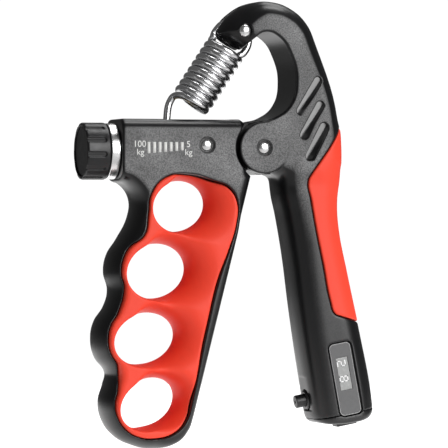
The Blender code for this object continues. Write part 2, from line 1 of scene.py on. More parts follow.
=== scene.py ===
"""Looks of an adjustable hand grip strengthener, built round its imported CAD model.

The moulded pieces are solids described by distance fields in millimetres and turned into
meshes: outlines lie in the XZ plane as (x, z) pairs, +Y is the back and z = 0 the base.
"""

import math

import bmesh
import bpy
import numpy as np
import openvdb
from mathutils import Matrix, Vector


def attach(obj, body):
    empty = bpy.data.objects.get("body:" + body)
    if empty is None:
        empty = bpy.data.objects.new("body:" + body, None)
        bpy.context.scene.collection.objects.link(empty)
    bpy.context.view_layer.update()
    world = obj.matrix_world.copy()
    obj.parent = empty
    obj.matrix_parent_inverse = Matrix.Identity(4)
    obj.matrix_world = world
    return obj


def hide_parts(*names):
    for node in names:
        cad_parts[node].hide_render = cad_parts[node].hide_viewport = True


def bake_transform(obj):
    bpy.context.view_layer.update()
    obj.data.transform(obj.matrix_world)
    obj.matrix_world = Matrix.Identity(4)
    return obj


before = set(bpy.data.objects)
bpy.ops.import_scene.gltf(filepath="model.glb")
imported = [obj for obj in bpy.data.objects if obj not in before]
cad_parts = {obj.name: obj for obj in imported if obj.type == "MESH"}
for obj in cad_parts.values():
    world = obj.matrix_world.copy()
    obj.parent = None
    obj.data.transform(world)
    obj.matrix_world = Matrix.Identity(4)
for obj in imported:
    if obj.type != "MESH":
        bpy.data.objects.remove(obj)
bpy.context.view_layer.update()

MM = 0.001
VOXEL = 0.36
HALF_DEPTH = 13.0
FACE = HALF_DEPTH + 0.02
WELD_DISTANCE = 0.002

# Places that the CAD model fixes
PIVOT = (12.2, 117.4)
HOUSING_TOP = 128.5
HOUSING_LEFT = -45.2
HOUSING_PIN = (-11.2, 118.3)
SCREW_Z = 115.9
SPRING_TOP = (4.5, 163.1)
SPRING_FOOT = (-21.0, 125.0)
KNOB_END = -58.8
KNOB_FACE = -49.3
KNOB_RADIUS = 11.15
RING_RADIUS = 10.9
CHEEK_INNER = 6.4
CHEEK_RADIUS = 10.2
TONGUE_RADIUS = 10.5
TONGUE_HALF = 5.2
COUNTER_ORIGIN = (45.6, 12.0)
COUNTER_TILT = math.radians(10.5)
LENS_X = 2.45
PLUNGER_Z = 8.2
CAP_SEAM = 0.6

# Rooms and pockets in the visual pieces
BORE_ENDS = (-50.0, -7.2)
BORE_RADIUS = 7.0
SLOT_ENDS = (-40.6, -12.6)
SLOT_HALF_WIDTH = 4.5
TROUGH_Z = 134.0
TROUGH_RADIUS = 9.7
TROUGH_ENDS = (-27.0, -1.5)
TROUGH_SLOPE = 0.6
CHEEK_ROOM = 11.6
TONGUE_ROOM = 11.2
RIVET_RECESS = 2.95
RIVET_SINK = 1.2
HOOK_SLOT = (2.6, 161.7)
HOOK_SLOT_RADIUS = 11.5
HOOK_SLOT_HALF = 1.95
SEAM_GAP = 0.03
SEAM_BLEND = 0.06

# Knob details
KNOB_GROOVES = 12
KNOB_GROOVE_START = -52.0
KNOB_GROOVE_RADIUS = 0.95
KNOB_GROOVE_DEPTH = 0.55
DISC_RADIUS = 9.65
DISC_SINK = 0.5

# Counter panel and its window, in the counter's frame
PANEL_MIDDLE = 14.5
PANEL_HALF = (4.45, 14.3)
PANEL_CORNER = 1.9
PANEL_FLOOR = -11.75
WINDOW = (2.4, 16.6)
WINDOW_HALF = (2.45, 6.5)

# Finger holes: centre x, centre z, half length, half height, tilt, width of the scoop
FINGER_HOLES = (
    (-20.4, 94.5, 11.8, 9.8, 13.0, 13.5),
    (-29.6, 69.2, 13.1, 10.6, 11.0, 13.5),
    (-34.3, 42.9, 13.5, 9.9, 13.0, 11.5),
    (-33.0, 17.8, 12.6, 9.2, 24.0, 8.5),
)

# Spring wire
WIRE_RADIUS = 1.45
COIL_RADIUS = 6.75
COIL_PITCH = 3.0
COIL_START = 12.9
COIL_TURNS = 8.5


# ---- outlines

def arc(centre, radius, start, end, count):
    """Smooth outline points on an arc, angles in degrees anticlockwise from +X."""
    angles = [math.radians(start + (end - start) * i / (count - 1)) for i in range(count)]
    return [(centre[0] + radius * math.cos(a), centre[1] + radius * math.sin(a)) for a in angles]


def sharp(*points):
    """Mark outline points as corners."""
    return [(x, z, "VECTOR") for x, z in points]


class Outline:
    """A closed outline whose plain points are smooth and whose sharp() points are corners."""

    def __init__(self, points):
        data = bpy.data.curves.new("outline", "CURVE")
        data.dimensions = "2D"
        data.fill_mode = "NONE"
        data.resolution_u = 8
        spline = data.splines.new("BEZIER")
        spline.bezier_points.add(len(points) - 1)
        for knot, point in zip(spline.bezier_points, points):
            handle = point[2] if len(point) > 2 else "AUTO"
            knot.co = (point[0], point[1], 0.0)
            knot.handle_left_type = handle
            knot.handle_right_type = handle
        spline.use_cyclic_u = True
        item = bpy.data.objects.new("outline", data)
        mesh = item.to_mesh()
        self.points = np.array([v.co[:2] for v in mesh.vertices], dtype=np.float32)
        item.to_mesh_clear()
        bpy.data.objects.remove(item)
        bpy.data.curves.remove(data)

    def distance(self, x, z):
        """Distance from the outline, negative inside."""
        x, z = np.broadcast_arrays(x, z)
        nearest = np.full(x.shape, 1e9, dtype=np.float32)
        inside = np.zeros(x.shape, dtype=bool)
        for (ax, az), (bx, bz) in zip(self.points, np.roll(self.points, -1, axis=0)):
            ex, ez = bx - ax, bz - az
            px, pz = x - ax, z - az
            t = np.clip((px * ex + pz * ez) / max(ex * ex + ez * ez, 1e-9), 0, 1)
            nearest = np.minimum(nearest, (px - t * ex) ** 2 + (pz - t * ez) ** 2)
            if az != bz:
                crosses = ((az > z) != (bz > z)) & (px < (z - az) * ex / ez)
                inside ^= crosses
        nearest = np.sqrt(nearest)
        return np.where(inside, -nearest, nearest)


# ---- fields

def ramp(value, start, end):
    """Smooth step from 0 at start to 1 at end."""
    t = np.clip((value - start) / (end - start), 0, 1)
    return t * t * (3 - 2 * t)


def mix(a, b, share):
    """Weighted mean of two values."""
    return a + (b - a) * share


def join(a, b, blend):
    """Smooth union of two fields."""
    h = np.clip(0.5 + 0.5 * (b - a) / blend, 0, 1)
    return b + (a - b) * h - blend * h * (1 - h)


def keep(a, b, blend):
    """Smooth intersection of two fields."""
    return -join(-a, -b, blend)


def slab(d, y, wide, deep, power=2.0):
    """A plate of outline distance d whose edges roll over: wide in the plane, deep along Y."""
    u = np.maximum((d + wide) / wide, 0)
    v = np.maximum((np.abs(y) - HALF_DEPTH + deep) / deep, 0)
    return ((u ** power + v ** power) ** (1 / power) - 1) * np.minimum(wide, deep)


def rod(x, y, z, start, end, radius):
    """A round rod between two points."""
    a, b = np.array(start, dtype=float), np.array(end, dtype=float)
    axis = b - a
    length = np.linalg.norm(axis)
    axis = axis / length
    px, py, pz = x - a[0], y - a[1], z - a[2]
    along = px * axis[0] + py * axis[1] + pz * axis[2]
    across = np.sqrt(np.maximum(px * px + py * py + pz * pz - along * along, 0))
    return np.maximum(across - radius, np.abs(along - length / 2) - length / 2)


def away_from(centre, x, z):
    """Distance from a line that runs front to back through centre."""
    return np.sqrt((x - centre[0]) ** 2 + (z - centre[1]) ** 2)


def block(x, y, z, low, high):
    """A box between two corners."""
    result = None
    for value, a, b in zip((x, y, z), low, high):
        side = np.abs(value - (a + b) / 2) - (b - a) / 2
        result = side if result is None else np.maximum(result, side)
    return result


def counter_frame(x, z):
    """Coordinates in the counter's tilted frame."""
    c, s = math.cos(COUNTER_TILT), math.sin(COUNTER_TILT)
    px, pz = x - COUNTER_ORIGIN[0], z - COUNTER_ORIGIN[1]
    return px * c + pz * s, -px * s + pz * c


# ---- meshes

def link_new(name, data):
    """A new object in the scene's collection."""
    item = bpy.data.objects.new(name, data)
    bpy.context.scene.collection.objects.link(item)
    return item


def new_mesh(name, points, faces):
    """A smooth shaded mesh object; points in millimetres."""
    mesh = bpy.data.meshes.new(name)
    mesh.from_pydata((np.asarray(points, dtype=float) * MM).tolist(), [], faces)
    mesh.validate()
    mesh.shade_smooth()
    return link_new(name, mesh)


def from_field(name, field, low, high, voxel=VOXEL):
    """The closed surface where a field is zero, found on a grid between two corners."""
    axes = [np.arange(a, b + voxel, voxel, dtype=np.float32) for a, b in zip(low, high)]
    values = field(axes[0][:, None, None], axes[1][None, :, None], axes[2][None, None, :])
    values = np.broadcast_to(values, [len(a) for a in axes])
    band = 3 * voxel
    values = np.clip(values, -band, band).astype(np.float32)
    grid = openvdb.FloatGrid(band)
    grid.copyFromArray(np.ascontiguousarray(values))
    points, triangles, quads = grid.convertToPolygons(isovalue=0.0, adaptivity=0.0)
    points = points * voxel + np.array([a[0] for a in axes])
    faces = quads.tolist() + triangles.tolist()
    corners = points[quads]
    volume = np.einsum("ij,ij->i", corners[:, 0], np.cross(corners[:, 1], corners[:, 2])).sum()
    if volume < 0:
        faces = [face[::-1] for face in faces]
    return new_mesh(name, points, faces)


def turned(name, profile, origin, direction, steps=96, sharp_angle=35):
    """A turned piece: (radius, height) points down its outer side, about direction."""
    points, faces = [], []
    count = len(profile)
    for i in range(steps):
        angle = 2 * math.pi * i / steps
        for radius, height in profile:
            points.append((radius * math.cos(angle), radius * math.sin(angle), height))
    for i in range(steps):
        here, there = i * count, (i + 1) % steps * count
        for j in range(count - 1):
            faces.append((here + j, here + j + 1, there + j + 1, there + j))
        if profile[0][0] > 0:
            faces.append((here + count - 1, here, there, there + count - 1))
    item = new_mesh(name, points, faces)
    weld(item)
    item.data.set_sharp_from_angle(angle=math.radians(sharp_angle))
    turn = Vector(direction).to_track_quat("Z", "Y").to_matrix().to_4x4()
    item.data.transform(Matrix.Translation(Vector(origin) * MM) @ turn)
    return item


def weld(item):
    """Join points that coincide and make the faces point out."""
    bm = bmesh.new()
    bm.from_mesh(item.data)
    bmesh.ops.remove_doubles(bm, verts=bm.verts, dist=WELD_DISTANCE * MM)
    bmesh.ops.recalc_face_normals(bm, faces=bm.faces)
    bm.to_mesh(item.data)
    bm.free()


def soft_profile(corners, radius, steps=4):
    """A turned profile with rounded corners: (radius, height), or with its own rounding third."""
    result = []
    for i, corner in enumerate(corners):
        here = Vector(corner[:2])
        size = corner[2] if len(corner) > 2 else radius
        before = Vector(corners[i - 1][:2]) if i else None
        after = Vector(corners[i + 1][:2]) if i + 1 < len(corners) else None
        if before is None or after is None or size == 0:
            result.append(tuple(here))
            continue
        size = min(size, (before - here).length * 0.49, (after - here).length * 0.49)
        start = here + (before - here).normalized() * size
        end = here + (after - here).normalized() * size
        for k in range(steps + 1):
            t = k / steps
            result.append(tuple(start * (1 - t) ** 2 + here * 2 * t * (1 - t) + end * t * t))
    return result


def tube(name, path, radius):
    """A round wire along points in millimetres, with domed ends."""
    sides = 18
    path = np.asarray(path, dtype=float)
    tangents = np.gradient(path, axis=0)
    tangents /= np.linalg.norm(tangents, axis=1)[:, None]
    side = np.cross(tangents[0], (0.0, 1.0, 0.0))
    if np.linalg.norm(side) < 0.1:
        side = np.cross(tangents[0], (1.0, 0.0, 0.0))
    rings = []
    for tangent, point in zip(tangents, path):
        side = side - tangent * (side @ tangent)
        side /= np.linalg.norm(side)
        rings.append((point, tangent, side, radius))
    caps = [(math.sin(a), math.cos(a)) for a in map(math.radians, (20, 50, 75))]
    dome = 0.6 * radius
    first, last = rings[0], rings[-1]
    start = [(first[0] - first[1] * dome * out, first[1], first[2], radius * wide)
             for out, wide in reversed(caps)]
    finish = [(last[0] + last[1] * dome * out, last[1], last[2], radius * wide)
              for out, wide in caps]
    points, faces = [], []
    turns = [2 * math.pi * i / sides for i in range(sides)]
    for point, tangent, side, width in start + rings + finish:
        up = np.cross(tangent, side)
        points += [point + width * (math.cos(a) * side + math.sin(a) * up) for a in turns]
    count = len(points) // sides
    for i in range(count - 1):
        for j in range(sides):
            k = (j + 1) % sides
            faces.append((i * sides + j, (i + 1) * sides + j, (i + 1) * sides + k, i * sides + k))
    faces.append(tuple(range(sides)))
    faces.append(tuple(range((count - 1) * sides, count * sides))[::-1])
    item = new_mesh(name, points, faces)
    weld(item)
    return item


def spline(points):
    """Points at even steps along a smooth curve through the points given."""
    step, pieces = 0.35, 24
    points = np.asarray(points, dtype=float)
    padded = np.vstack([2 * points[0] - points[1], points, 2 * points[-1] - points[-2]])
    fine = []
    for p0, p1, p2, p3 in zip(padded, padded[1:], padded[2:], padded[3:]):
        for t in np.linspace(0, 1, pieces, endpoint=False):
            fine.append(0.5 * (2 * p1 + (p2 - p0) * t + (2 * p0 - 5 * p1 + 4 * p2 - p3) * t ** 2
                               + (3 * p1 - p0 - 3 * p2 + p3) * t ** 3))
    fine = np.array(fine + [points[-1]])
    lengths = np.concatenate([[0], np.cumsum(np.linalg.norm(np.diff(fine, axis=0), axis=1))])
    even = np.linspace(0, lengths[-1], max(8, int(lengths[-1] / step)))
    return np.stack([np.interp(even, lengths, fine[:, i]) for i in range(3)], axis=1)


# ---- materials

def shader_tree(name):
    """A new material, its node tree and its shader."""
    material = bpy.data.materials.new(name)
    material.use_nodes = True
    tree = material.node_tree
    return material, tree, tree.nodes["Principled BSDF"]


def add_node(tree, kind, inputs=None, **settings):
    """Add a node; inputs are values or the sockets that feed it."""
    node = tree.nodes.new(kind)
    for key, value in settings.items():
        setattr(node, key, value)
    for key, value in (inputs or {}).items():
        if isinstance(value, bpy.types.NodeSocket):
            tree.links.new(value, node.inputs[key])
        else:
            node.inputs[key].default_value = value
    return node


def noise(tree, scale, detail=2.0, roughness=0.5):
    """Noise in the object's own coordinates; scale in cells per metre."""
    place = add_node(tree, "ShaderNodeTexCoord").outputs["Object"]
    settings = {"Vector": place, "Scale": scale, "Detail": detail, "Roughness": roughness}
    return add_node(tree, "ShaderNodeTexNoise", settings).outputs["Fac"]


def remap(tree, value, low, high, to_low, to_high):
    """Map a value from one range to another, clamped."""
    settings = {"Value": value, "From Min": low, "From Max": high, "To Min": to_low, "To Max": to_high}
    return add_node(tree, "ShaderNodeMapRange", settings).outputs["Result"]


def multiply(tree, first, second):
    """Product of two values."""
    return add_node(tree, "ShaderNodeMath", {0: first, 1: second}, operation="MULTIPLY").outputs[0]


def blend_colour(tree, share, first, second):
    """Mix two colours."""
    node = add_node(tree, "ShaderNodeMix", data_type="RGBA")
    tree.links.new(share, node.inputs["Factor"])
    for key, value in (("A", first), ("B", second)):
        socket = next(s for s in node.inputs if s.name == key and s.type == "RGBA")
        if isinstance(value, bpy.types.NodeSocket):
            tree.links.new(value, socket)
        else:
            socket.default_value = (*value, 1.0)
    return next(s for s in node.outputs if s.type == "RGBA")


def bump(tree, shader, height, strength, distance):
    """Small relief on a shader; distance in millimetres."""
    settings = {"Height": height, "Strength": strength, "Distance": distance * MM}
    node = add_node(tree, "ShaderNodeBump", settings)
    tree.links.new(node.outputs["Normal"], shader.inputs["Normal"])


def flat_share(tree):
    """1 where a surface faces the front or the back, 0 where it rolls away."""
    normal = add_node(tree, "ShaderNodeNewGeometry").outputs["Normal"]
    across = add_node(tree, "ShaderNodeSeparateXYZ", {"Vector": normal}).outputs["Y"]
    size = add_node(tree, "ShaderNodeMath", {0: across}, operation="ABSOLUTE").outputs[0]
    return remap(tree, size, 0.90, 0.998, 0.0, 1.0)


def moulded_black(name):
    """Black moulding: polished on rolled edges and low down, spark texture on flat faces, whose grey
    colour is a painted sheen for the light that the texture scatters.
    """
    smooth, painted_sheen_grey = (0.004, 0.004, 0.0045), (0.23, 0.23, 0.232)
    material, tree, shader = shader_tree(name)
    flat = flat_share(tree)
    grain = noise(tree, 2100.0, 3.0, 0.6)
    cloud = noise(tree, 60.0, 2.0)
    speckle = remap(tree, grain, 0.38, 0.62, 0.35, 1.0)
    patch = remap(tree, cloud, 0.35, 0.65, 0.60, 1.0)
    place_on = add_node(tree, "ShaderNodeTexCoord").outputs["Object"]
    height = add_node(tree, "ShaderNodeSeparateXYZ", {"Vector": place_on}).outputs["Z"]
    flat = multiply(tree, flat, remap(tree, height, 0.080, 0.108, 0.12, 1.0))
    share = multiply(tree, multiply(tree, speckle, patch), flat)
    # Painted sheen: faces turned to the front or back get a grey colour in place of the light that
    # their spark texture scatters.
    tree.links.new(blend_colour(tree, share, smooth, painted_sheen_grey), shader.inputs["Base Color"])
    tree.links.new(remap(tree, flat, 0.0, 1.0, 0.30, 0.56), shader.inputs["Roughness"])
    bump(tree, shader, multiply(tree, grain, flat), 0.5, 0.05)
    return material


def marked(name, scale, detail, tones, roughness):
    """A material whose colour and roughness vary with one noise, which it also returns."""
    material, tree, shader = shader_tree(name)
    marks = noise(tree, scale, detail)
    tree.links.new(blend_colour(tree, marks, *tones), shader.inputs["Base Color"])
    tree.links.new(remap(tree, marks, 0.3, 0.7, *roughness), shader.inputs["Roughness"])
    return material, tree, shader, marks


def scaled(colour, share):
    """A colour made lighter or darker."""
    return tuple(c * share for c in colour)


def satin_black(name):
    """Smooth black plastic with faint flow marks."""
    colour = (0.008, 0.008, 0.0085)
    material, tree, shader, _ = marked(name, 420.0, 4.0, (colour, scaled(colour, 1.5)), (0.3, 0.42))
    bump(tree, shader, noise(tree, 5200.0, 2.0), 0.18, 0.02)
    return material


def soft_rubber(name):
    """Soft red moulding with a fine matt skin."""
    colour = (0.95, 0.066, 0.032)
    material, tree, shader = shader_tree(name)
    cloud = noise(tree, 70.0, 3.0)
    skin = noise(tree, 3800.0, 2.0)
    deeper = (colour[0] * 0.93, colour[1] * 0.86, colour[2] * 0.82)
    tree.links.new(blend_colour(tree, cloud, deeper, colour), shader.inputs["Base Color"])
    tree.links.new(remap(tree, skin, 0.3, 0.7, 0.46, 0.60), shader.inputs["Roughness"])
    shader.inputs["Specular IOR Level"].default_value = 0.35
    bump(tree, shader, skin, 0.22, 0.02)
    return material


def metal(name, colour, roughness):
    """Metal with faint streaks in its polish."""
    tones = (scaled(colour, 0.97), colour)
    material, tree, shader, marks = marked(name, 900.0, 2.0, tones, roughness)
    shader.inputs["Metallic"].default_value = 1.0
    bump(tree, shader, marks, 0.02, 0.004)
    return material


def plain_plastic(name, colour, roughness=(0.35, 0.5)):
    """Moulded plastic or print with slight mottling."""
    tones = (scaled(colour, 0.8), colour)
    material, tree, shader, marks = marked(name, 700.0, 3.0, tones, roughness)
    bump(tree, shader, marks, 0.15, 0.02)
    return material


MATERIALS = {
    "black": moulded_black("frame_black"),
    "satin": satin_black("satin_black"),
    "red": soft_rubber("soft_red"),
    "chrome": metal("spring_chrome", (0.80, 0.80, 0.81), (0.22, 0.26)),
    "polish": metal("polished_steel", (0.92, 0.92, 0.92), (0.25, 0.27)),
    "steel": metal("machined_steel", (0.56, 0.56, 0.58), (0.28, 0.42)),
    "brass": metal("machined_brass", (0.72, 0.55, 0.27), (0.26, 0.40)),
    "print": plain_plastic("white_print", (0.82, 0.82, 0.80), (0.45, 0.6)),
    # Pale grey for the grooves' left slopes: a painted highlight of the lit slope.
    "grey": plain_plastic("groove_grey", (0.40, 0.40, 0.40), (0.35, 0.45)),
    # Grey for the panel rim: a painted highlight on the panel's raised edge.
    "rim": plain_plastic("rim_grey", (0.42, 0.42, 0.42), (0.3, 0.4)),
    "bearing": plain_plastic("natural_nylon", (0.60, 0.60, 0.57)),
    "board": plain_plastic("board_green", (0.015, 0.14, 0.05)),
    "switch": plain_plastic("switch_black", (0.03, 0.03, 0.03)),
    "lens": plain_plastic("lens_grey", (0.10, 0.10, 0.102), (0.3, 0.4)),
    "display": plain_plastic("display_grey", (0.36, 0.365, 0.36), (0.2, 0.3)),
    "segments": plain_plastic("segment_white", (0.95, 0.95, 0.95), (0.3, 0.4)),
}


def place(item, body, material, slot, *nodes):
    """Give a piece its material and its body, and hide the CAD nodes that it stands for; the slot is
    not used.
    """
    item.data.materials.clear()
    item.data.materials.append(MATERIALS[material])
    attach(item, body)
    if nodes:
        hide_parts(*nodes)
    return item


# ---- outlines of the handles

def finger_outline():
    """The finger handle, with its housing drawn past its left end, which is cut off square."""
    past, below = HOUSING_LEFT - 8, 104.2
    points = sharp((past, HOUSING_TOP), (past, below), (HOUSING_LEFT - 0.5, below))
    points += [(-42.2, 103.0), (-38.7, 97.0), (-39.3, 90.5)]
    points += arc((-30.5, 69.2), 18.4, 136, 204, 4)
    points += arc((-35.4, 42.9), 18.7, 136, 226, 5)
    points += arc((-34.2, 17.8), 16.9, 152, 255, 5)
    points += [(-31.0, 0.0), (-23.5, 1.8), (-18.0, 7.5)]
    points += sharp((-16.1, 12.6), (7.7, 106.3))
    points += arc(PIVOT, TONGUE_RADIUS, 240, 480, 9)
    points += sharp((3.0, HOUSING_TOP))
    return points


def insert_outline():
    """The soft insert that carries the four finger holes."""
    points = [(-28.0, 105.6), (-33.4, 99.5), (-34.6, 91.5), (-36.3, 83.2)]
    points += arc((-30.5, 69.2), 14.8, 142, 204, 4)
    points += arc((-35.4, 42.9), 15.1, 138, 222, 5)
    points += arc((-34.2, 17.8), 13.5, 156, 250, 5)
    points += [(-32.0, 4.3), (-24.5, 6.4), (-19.3, 11.8), (-17.3, 18.5)]
    points += [(-11.9, 45.0), (-6.5, 66.5), (-2.0, 78.2), (1.1, 88.0), (1.6, 94.5)]
    points += [(-1.8, 101.5), (-8.5, 104.4), (-18.3, 106.9)]
    return points


def bow_outline():
    """The lever's bow from its tip round its outer side, filled in under the arch."""
    points = sharp((6.0, 112.0), (24.0, 104.0), (38.0, 104.0), (44.0, 112.0))
    points += [(44.6, 124.8)]
    points += arc((14.7, 154.0), 21.0, 15, 128, 6)
    points += [(-3.6, 164.6), (-4.3, 162.5), (-3.2, 160.8), (3.0, 156.6)]
    points += sharp((5.4, 155.6), (6.0, 127.0))
    return points


def arch_outline():
    """The open space under the lever's bow."""
    points = [(8.6, 160.2), (13.0, 162.7), (18.6, 160.6), (23.0, 154.0), (25.3, 144.0)]
    points += [(23.0, 134.5), (16.6, 129.4), (10.6, 127.9), (6.0, 126.6), (3.6, 124.2)]
    points += sharp((-6.0, 126.0), (-6.0, 148.0), (3.6, 153.2))
    return points


def handle_outline():
    """The palm handle from the hinge down, drawn on past its lower end."""
    points = [(19.5, 106.5), (19.6, 100.5), (21.6, 91.0), (24.4, 75.1), (26.9, 56.2)]
    points += [(29.7, 37.3), (31.9, 24.0), (34.4, 8.0)]
    points += sharp((36.5, -6.0), (63.6, -6.0))
    points += [(60.2, 12.0), (58.6, 24.0), (54.6, 43.6), (49.0, 68.8), (45.6, 85.5)]
    points += [(44.9, 96.0), (46.1, 108.0), (45.4, 119.0), (42.0, 127.5), (33.0, 127.5)]
    points += [(24.0, 116.0)]
    return points


def end_outline():
    """Everything above the handle's squared lower end."""
    points = sharp((0.0, 140.0), (0.0, 13.0), (33.0, 13.0))
    points += [(34.6, 10.6), (37.6, 9.1), (44.0, 8.8), (50.0, 9.4), (54.6, 10.4), (57.4, 11.6)]
    points += [(60.8, 14.4), (61.9, 17.4)]
    points += sharp((62.6, 21.0), (80.0, 24.0), (80.0, 140.0))
    return points


def pad_outline():
    """The area that the soft palm pad covers, out past the handle's outer side."""
    points = sharp((44.6, 125.4), (32.2, 108.4))
    points += [(30.2, 104.6), (31.4, 96.9), (33.6, 84.8), (36.4, 71.7), (39.4, 57.0), (41.2, 52.4)]
    points += sharp((44.4, 51.1), (60.0, 47.0), (66.0, 130.0))
    return points


FINGER = Outline(finger_outline())
INSERT = Outline(insert_outline())
BOW = Outline(bow_outline())
ARCH = Outline(arch_outline())
HANDLE = Outline(handle_outline())
PAD = Outline(pad_outline())
END = Outline(end_outline())


# ---- finger handle

def finger_solid(x, y, z):
    """The whole finger handle: boxy housing, rolled finger side, narrow straight inner side."""
    d = FINGER.distance(x, z)
    housing_edge = 104.0 - 0.35 * (x + 30.0)
    low = ramp(housing_edge - z, 0.0, 10.0)
    middle = 0.16 * z - 26.0
    left = ramp(middle - x, -6.0, 6.0)
    wide = mix(5.2, mix(3.2, 6.0, left), low)
    deep = mix(5.2, mix(3.2, 12.9, left), low)
    end_face = np.where(z > 100.0, HOUSING_LEFT - x, -20.0)
    return keep(slab(d, y, wide, deep), end_face, 1.2)


def rivet_recess(x, y, z, at, radius=RIVET_RECESS, depth=RIVET_SINK):
    """A round recess for a rivet head in both faces."""
    across = away_from(at, x, z) - radius
    return keep(across, HALF_DEPTH - depth - np.abs(y), 0.3)


def finger_frame_field(x, y, z):
    """The hard finger handle, with room for the insert, the mechanism and the lever's cheeks."""
    solid = finger_solid(x, y, z)
    solid = keep(solid, -(INSERT.distance(x, z) - 0.1), 0.9)
    bore = rod(x, y, z, (BORE_ENDS[0], 0, SCREW_Z), (BORE_ENDS[1], 0, SCREW_Z), BORE_RADIUS)
    slot = block(x, y, z, (SLOT_ENDS[0], -SLOT_HALF_WIDTH, 118), (SLOT_ENDS[1], SLOT_HALF_WIDTH, 132))
    trough = rod(x, y, z, (-60, 0, TROUGH_Z), (20, 0, TROUGH_Z), TROUGH_RADIUS)
    trough = keep(trough, -(x - TROUGH_ENDS[0]) * TROUGH_SLOPE, 2.0)
    trough = keep(trough, (x - TROUGH_ENDS[1]) * TROUGH_SLOPE, 2.0)
    across = away_from(PIVOT, x, z)
    cheeks = keep(across - CHEEK_ROOM, TONGUE_HALF - np.abs(y), 0.4)
    recess = rivet_recess(x, y, z, HOUSING_PIN)
    for cutter, blend in ((bore, 0.3), (slot, 0.8), (trough, 1.2), (cheeks, 0.6), (recess, 0.3)):
        solid = keep(solid, -cutter, blend)
    return solid


def scoop(x, z, hole):
    """How deep a finger hole's scoop is: 1 at the hole's edge, 0 at the scoop's outer edge."""
    cx, cz, half_length, half_height, tilt, width = hole
    turn = math.radians(tilt)
    px, pz = x - cx, z - cz
    along = px * math.cos(turn) + pz * math.sin(turn)
    across = -px * math.sin(turn) + pz * math.cos(turn)
    size = np.sqrt((along / half_length) ** 2 + (across / half_height) ** 2) + 1e-6
    slope = np.sqrt((along / half_length ** 2) ** 2 + (across / half_height ** 2) ** 2) + 1e-6
    away = size * (size - 1) / slope
    reach = np.sqrt(along ** 2 + across ** 2) + 1e-6
    away = np.where(size > 1, np.minimum(away, reach * (1 - 1 / size)), away)
    towards_right = ramp(along / reach, -0.45, 0.85)
    breadth = mix(1.3, width, towards_right)
    return np.maximum((breadth - away) / breadth, 0)


def finger_insert_field(x, y, z):
    """The soft insert: flush with the frame, and scooped round each finger hole."""
    solid = finger_solid(x, y, z)
    solid = keep(solid, INSERT.distance(x, z) + 0.12, 0.9)
    depth = 0.0
    for hole in FINGER_HOLES:
        depth = depth + scoop(x, z, hole) ** 4
    depth = depth ** 0.25
    across = np.abs(y) / HALF_DEPTH
    holes = (np.sqrt(depth ** 2 + across ** 2) - 1) * 8.0
    return keep(solid, holes, 0.8)


def rivet(name, at, head, body, *nodes):
    """A polished rivet with a domed head in each face."""
    face = HALF_DEPTH - 0.15
    seat = HALF_DEPTH - RIVET_SINK
    shank = 1.5
    dome = [(head * math.sin(a), face - RIVET_SINK + RIVET_SINK * math.cos(a))
            for a in (math.pi / 2 * i / 8 for i in range(9))]
    dome[0] = (0.0, face)
    profile = dome + [(head, seat), (shank, seat), (shank, -seat)]
    profile += [(radius, -height) for radius, height in reversed(dome)]
    item = turned(name, profile, (at[0], 0, at[1]), (0, 1, 0), steps=64, sharp_angle=50)
    return place(item, body, "polish", "polished_metal", *nodes)


def collar_ring():
    """The polished ring between the housing and the knob."""
    left, right = -KNOB_FACE - 0.3, -HOUSING_LEFT + 0.3
    hole, spigot, spigot_end = 4.3, 6.7, 41.0
    corners = [
        (hole, left - 0.9, 0), (7.4, left - 0.9, 0), (7.4, left, 0), (RING_RADIUS, left, 0.35),
        (RING_RADIUS, right, 0.35), (spigot, right, 0), (spigot, spigot_end, 0),
        (hole, spigot_end, 0),
    ]
    item = turned("polished_ring", soft_profile(corners, 0.3), (0, 0, SCREW_Z), (-1, 0, 0), 128, 50)
    return place(item, "finger_handle", "polish", "polished_metal", "collar_ring")


def printed_text(text, size, x, z):
    """Raised print on the front face, centred at (x, z)."""
    data = bpy.data.curves.new("print", "FONT")
    data.body = text
    data.size = size * MM
    data.align_x = "CENTER"
    data.align_y = "CENTER"
    data.extrude = 0.03 * MM
    data.resolution_u = 4
    item = link_new("print", data)
    upright = Matrix.Rotation(math.pi / 2, 4, "X")
    item.matrix_world = Matrix.Translation((x * MM, -FACE * MM, z * MM)) @ upright
    bpy.context.view_layer.update()
    depsgraph = bpy.context.evaluated_depsgraph_get()
    mesh = bpy.data.meshes.new_from_object(item.evaluated_get(depsgraph))
    mesh.transform(item.matrix_world)
    bpy.data.objects.remove(item)
    return link_new("print", mesh)


def plate_faces():
    """Faces of a plate: four corners of one side come first, then those of the other side."""
    return [(0, 1, 2, 3), (7, 6, 5, 4)] + [(i, i + 4, (i + 1) % 4 + 4, (i + 1) % 4) for i in range(4)]


def printed_bar(x, bottom, top):
    """One bar of the resistance scale."""
    half, front, back = 0.575, -FACE - 0.03, -FACE + 0.03
    corners = [(x - half, bottom), (x + half, bottom), (x + half, top), (x - half, top)]
    points = [(px, y, pz) for y in (front, back) for px, pz in corners]
    return new_mesh("print", points, plate_faces())


def resistance_scale():
    """Seven bars that shorten to the low end, with generic numbers, joined into one piece."""
    bars = 7
    items = []
    for i in range(bars):
        share = i / (bars - 1)
        items.append(printed_bar(-34.9 + 13.4 * share, 115.0 + 1.2 * share, 119.4))
    items.append(printed_text("100", 3.5, -38.6, 118.5))
    items.append(printed_text("kg", 3.4, -38.3, 115.4))
    items.append(printed_text("5", 3.5, -18.9, 118.5))
    items.append(printed_text("kg", 3.4, -18.9, 115.4))
    with bpy.context.temp_override(active_object=items[0], selected_editable_objects=items):
        bpy.ops.object.join()
    items[0].name = "resistance_scale"
    place(items[0], "finger_handle", "print", "polished_metal")


